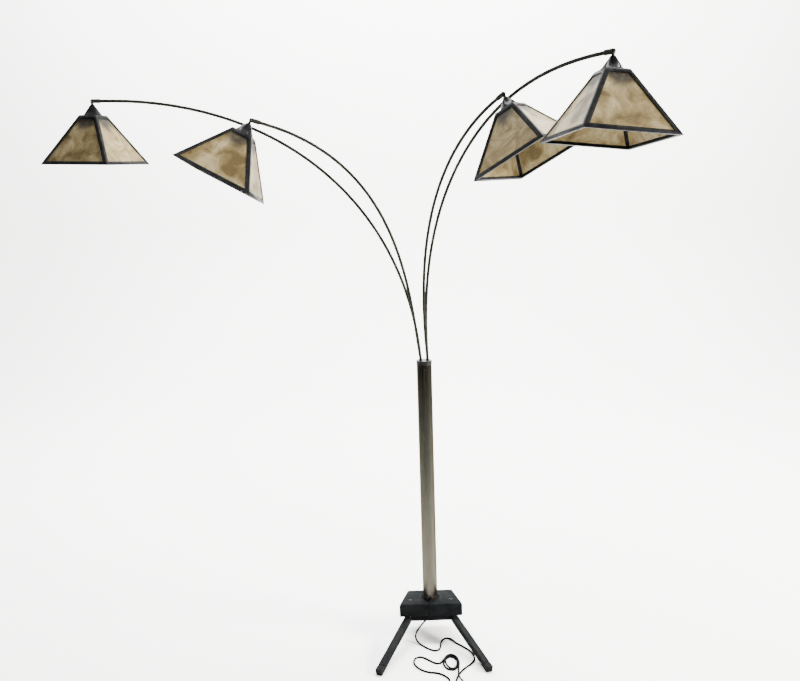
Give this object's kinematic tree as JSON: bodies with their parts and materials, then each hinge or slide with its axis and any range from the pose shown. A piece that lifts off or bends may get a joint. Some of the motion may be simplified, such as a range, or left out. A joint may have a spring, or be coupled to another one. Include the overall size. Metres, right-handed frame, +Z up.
{
  "type": "floor lamp",
  "caption": "Arc floor lamp: a heavy tripod base and round post carry arched swivel arms, each with a tilting pyramid shade of framed mica panels.",
  "frame": {"origin": "on the floor, at the centre of the footprint of the whole lamp without its free cord", "axes": "+Z up; +X to the right and +Y away as seen from the side on which the cord leaves the post"},
  "size_m": [1.745, 1.1562, 1.87],
  "materials": {
    "cast_black": "satin black paint on cast iron",
    "bar_black": "satin black paint, lightly worn",
    "rubber_black": "matt black rubber",
    "bolt_black": "blackened steel",
    "steel": "brushed, darkening to olive towards the top",
    "steel_dark": "dark oxidised steel",
    "arm_bronze": "dark bronze, satin",
    "cup_black": "polished black nickel",
    "frame_bronze": "dark bronze, satin",
    "mica": "mottled resin-bonded mica sheet, translucent amber",
    "bakelite": "black moulded phenolic",
    "bulb_glass": "frosted",
    "cord_black": "soft black PVC"
  },
  "bodies": {
    "base": {"base_block": "cast_black", "leg_hub": "cast_black", "front_left_leg": "bar_black", "front_left_leg_tip": "rubber_black", "front_right_leg": "bar_black", "front_right_leg_tip": "rubber_black", "rear_leg": "bar_black", "rear_leg_tip": "rubber_black", "base_bolt_left": "bolt_black", "base_bolt_right": "bolt_black", "post_socket": "steel_dark", "tie_bolt": "bolt_black", "tie_nut": "bolt_black", "post_tube": "steel", "post_cap": "bolt_black", "socket_gasket": "rubber_black", "cord_grommet": "rubber_black", "cap_set_screw": "bolt_black", "cord_run": "cord_black", "cord_loop": "cord_black", "cord_tail": "cord_black", "cord_coil": "cord_black", "cord_end": "cord_black", "plug": "cord_black"},
    "swing_arm_1": {"arm_1": "arm_bronze"},
    "knuckle_1": {"knuckle_sleeve_1": "arm_bronze", "knuckle_pin_1": "steel_dark"},
    "lamp_1": {"cone_cup_1": "cup_black", "bulb_socket_1": "bakelite", "shade_ring_1": "bolt_black", "bulb_1": "bulb_glass", "shade_frame_1": "frame_bronze", "mica_panels_1": "mica"},
    "swing_arm_2": {"arm_2": "arm_bronze"},
    "knuckle_2": {"knuckle_sleeve_2": "arm_bronze", "knuckle_pin_2": "steel_dark"},
    "lamp_2": {"cone_cup_2": "cup_black", "bulb_socket_2": "bakelite", "shade_ring_2": "bolt_black", "bulb_2": "bulb_glass", "shade_frame_2": "frame_bronze", "mica_panels_2": "mica"},
    "swing_arm_3": {"arm_3": "arm_bronze"},
    "knuckle_3": {"knuckle_sleeve_3": "arm_bronze", "knuckle_pin_3": "steel_dark"},
    "lamp_3": {"cone_cup_3": "cup_black", "bulb_socket_3": "bakelite", "shade_ring_3": "bolt_black", "bulb_3": "bulb_glass", "shade_frame_3": "frame_bronze", "mica_panels_3": "mica"},
    "swing_arm_4": {"arm_4": "arm_bronze"},
    "knuckle_4": {"knuckle_sleeve_4": "arm_bronze", "knuckle_pin_4": "steel_dark"},
    "lamp_4": {"cone_cup_4": "cup_black", "bulb_socket_4": "bakelite", "shade_ring_4": "bolt_black", "bulb_4": "bulb_glass", "shade_frame_4": "frame_bronze", "mica_panels_4": "mica"}
  },
  "joints": [
    {"name": "arm_1_swivel", "type": "hinge", "parent": "base", "child": "swing_arm_1", "pos_m": [0.303, 0.306, 0.946], "axis": [0, 0, 1], "range_deg": [-75, 5]},
    {"name": "shade_1_roll", "type": "hinge", "parent": "swing_arm_1", "child": "knuckle_1", "pos_m": [-0.72, 0.30422, 1.8635], "axis": [-0.9999, -0.0017, 0.0122], "range_deg": [-15, 15]},
    {"name": "shade_1_tilt", "type": "hinge", "parent": "knuckle_1", "child": "lamp_1", "pos_m": [-0.72, 0.30422, 1.8635], "axis": [0.0011, -0.9986, -0.0523], "range_deg": [-21, 25]},
    {"name": "arm_2_swivel", "type": "hinge", "parent": "base", "child": "swing_arm_2", "pos_m": [0.303, 0.2828, 0.946], "axis": [0, 0, 1], "range_deg": [-5, 22]},
    {"name": "shade_2_roll", "type": "hinge", "parent": "swing_arm_2", "child": "knuckle_2", "pos_m": [-0.17384, 0.06196, 1.7645], "axis": [-0.8777, -0.4065, 0.2538], "range_deg": [-15, 15]},
    {"name": "shade_2_tilt", "type": "hinge", "parent": "knuckle_2", "child": "lamp_2", "pos_m": [-0.17384, 0.06196, 1.7645], "axis": [0.3905, -0.9137, -0.1129], "range_deg": [-6, 25]},
    {"name": "arm_3_swivel", "type": "hinge", "parent": "base", "child": "swing_arm_3", "pos_m": [0.3262, 0.2828, 0.946], "axis": [0, 0, 1], "range_deg": [-25, 0]},
    {"name": "shade_3_roll", "type": "hinge", "parent": "swing_arm_3", "child": "knuckle_3", "pos_m": [0.53852, -0.08421, 1.797], "axis": [0.4717, -0.8154, 0.3355], "range_deg": [-8, 10]},
    {"name": "shade_3_tilt", "type": "hinge", "parent": "knuckle_3", "child": "lamp_3", "pos_m": [0.53852, -0.08421, 1.797], "axis": [0.8271, 0.5411, 0.1522], "range_deg": [-2, 25]},
    {"name": "arm_4_swivel", "type": "hinge", "parent": "base", "child": "swing_arm_4", "pos_m": [0.3262, 0.306, 0.946], "axis": [0, 0, 1], "range_deg": [0, 60]},
    {"name": "shade_4_roll", "type": "hinge", "parent": "swing_arm_4", "child": "knuckle_4", "pos_m": [0.74432, -0.41966, 1.841], "axis": [0.4991, -0.8663, -0.0209], "range_deg": [-10, 5]},
    {"name": "shade_4_tilt", "type": "hinge", "parent": "knuckle_4", "child": "lamp_4", "pos_m": [0.74432, -0.41966, 1.841], "axis": [0.8606, 0.4984, -0.1045], "range_deg": [-21, 5]}
  ]
}
